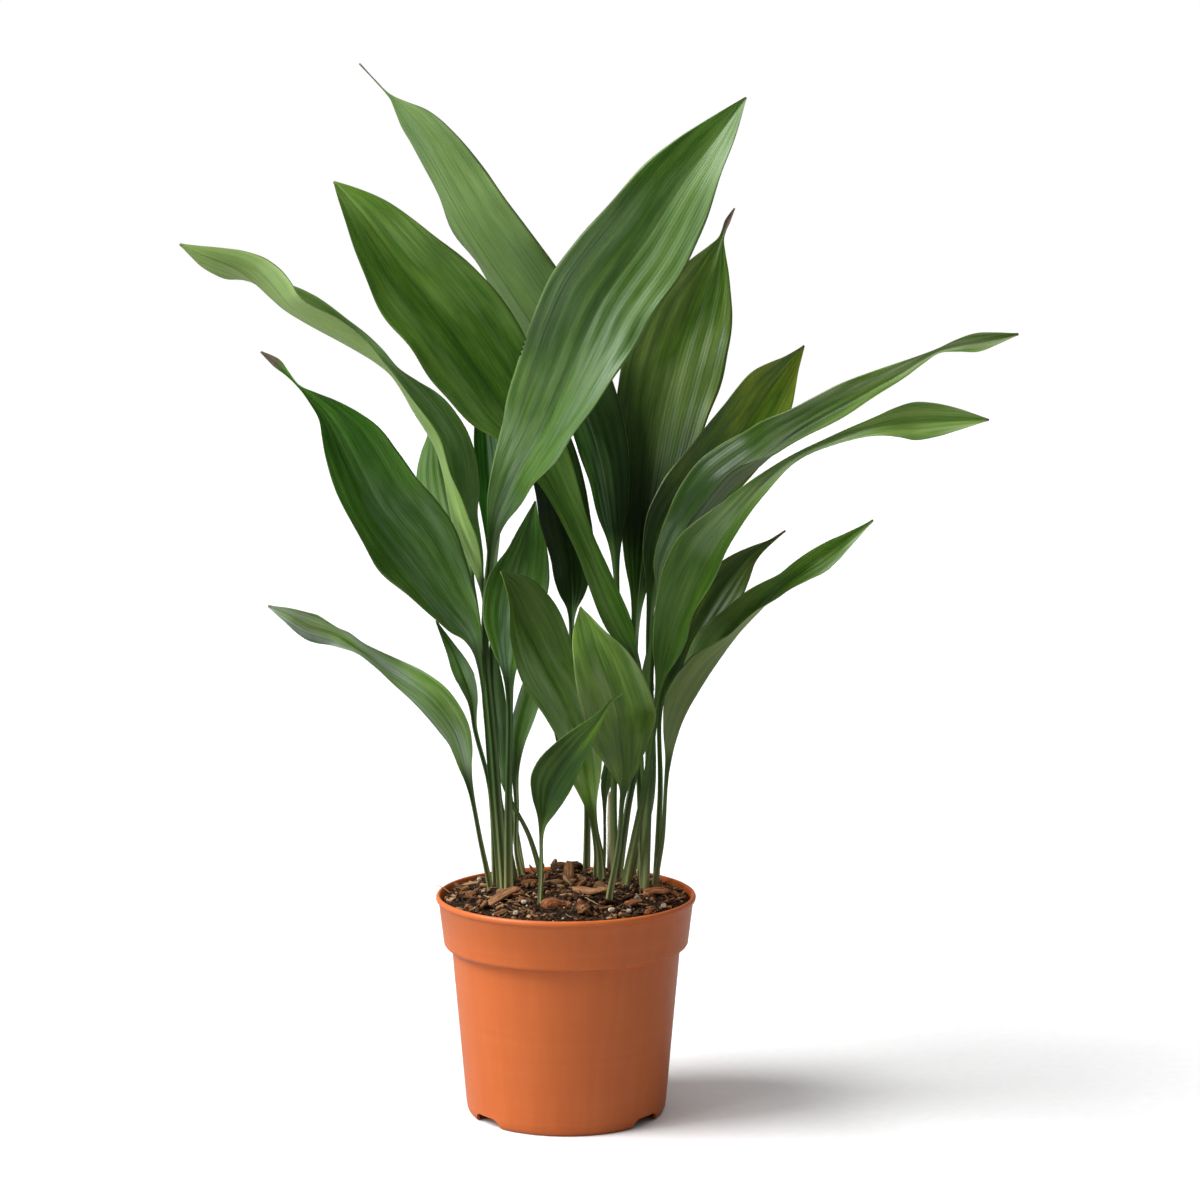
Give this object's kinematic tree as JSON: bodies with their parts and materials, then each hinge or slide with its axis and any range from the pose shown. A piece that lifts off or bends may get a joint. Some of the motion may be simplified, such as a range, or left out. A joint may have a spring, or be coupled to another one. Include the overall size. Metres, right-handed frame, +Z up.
{
  "type": "potted cast iron plant",
  "caption": "Leafy Aspidistra house plant with broad lance-shaped leaves on upright stalks, growing in a round tapered nursery pot of bark-topped soil.",
  "frame": {"origin": "on the surface the pot stands on, under the middle of the whole plant's box; the pot's axis stands at x -0.023, y -0.024", "axes": "+Z up, the plant's front faces -Y, +X to the right of someone who looks at its front"},
  "size_m": [0.5224, 0.2791, 0.6893],
  "materials": {
    "pot": "satin",
    "soil": "matte",
    "leaf": "satin",
    "dry_sheath": "matte",
    "bark": "matte",
    "perlite": "matte"
  },
  "bodies": {
    "root": {"pot": "pot", "soil": "soil", "leaf_tall_back": "leaf", "leaf_upper_left": "leaf", "leaf_front_tall": "leaf", "leaf_back_right": "leaf", "leaf_right_upright": "leaf", "leaf_right_long": "leaf", "leaf_right_arching": "leaf", "leaf_right_dark": "leaf", "leaf_right_low": "leaf", "leaf_left_long": "leaf", "leaf_left_broad": "leaf", "leaf_left_low": "leaf", "leaf_centre": "leaf", "leaf_front_left": "leaf", "leaf_front_right": "leaf", "leaf_front_small": "leaf", "leaf_back_dark": "leaf", "leaf_left_small": "leaf", "leaf_left_pale": "leaf", "leaf_left_dark": "leaf", "leaf_mid_pale": "leaf", "leaf_mid_dark": "leaf", "leaf_young_centre": "leaf", "leaf_young_upright": "leaf", "leaf_young_right": "leaf", "dried_stub": "dry_sheath", "bark_long": "bark", "bark_pink": "bark", "bark_round_front": "bark", "bark_red_right": "bark", "bark_black_back": "bark", "bark_grey_upright": "bark", "bark_brown_front": "bark", "bark_red_left": "bark", "bark_fibrous": "bark", "bark_small_back": "bark", "bark_left_edge": "bark", "bark_right_front": "bark", "straw_left": "bark", "perlite_1": "perlite", "perlite_2": "perlite", "perlite_3": "perlite", "perlite_4": "perlite", "perlite_5": "perlite", "perlite_6": "perlite", "perlite_7": "perlite", "perlite_8": "perlite"}
  },
  "joints": []
}
